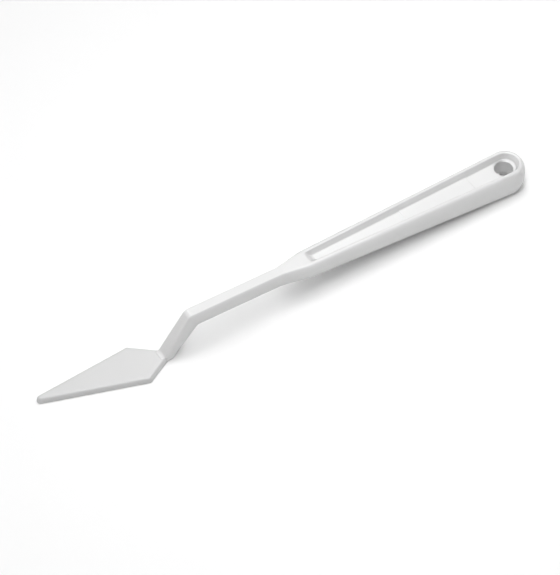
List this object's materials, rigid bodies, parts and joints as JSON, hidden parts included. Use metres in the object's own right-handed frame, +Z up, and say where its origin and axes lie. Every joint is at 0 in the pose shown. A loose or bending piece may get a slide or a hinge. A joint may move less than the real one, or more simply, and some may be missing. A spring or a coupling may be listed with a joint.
{
  "type": "palette knife",
  "caption": "One-piece moulded plastic palette knife with a slanted trowel blade, a cranked neck, a square-backed shank and an I-section handle that ends in a hanging hole",
  "frame": {"origin": "middle of the knife's plan outline, on the table that it lies on", "axes": "+X along the knife towards the hanging hole, +Y towards the long straight edge of the blade, +Z up from the table"},
  "size_m": [0.203, 0.0174, 0.018],
  "materials": {
    "white_plastic": "injection-moulded white plastic with a soft satin gloss"
  },
  "bodies": {
    "root": {"blade": "white_plastic", "root_fillet": "white_plastic", "heel": "white_plastic", "neck": "white_plastic", "elbow": "white_plastic", "shank": "white_plastic", "shoulder": "white_plastic", "left_rail": "white_plastic", "right_rail": "white_plastic", "end_loop": "white_plastic", "front_ramp": "white_plastic", "web": "white_plastic", "upper_pad": "white_plastic", "lower_pad": "white_plastic", "hanging_eye": "white_plastic"}
  },
  "joints": []
}
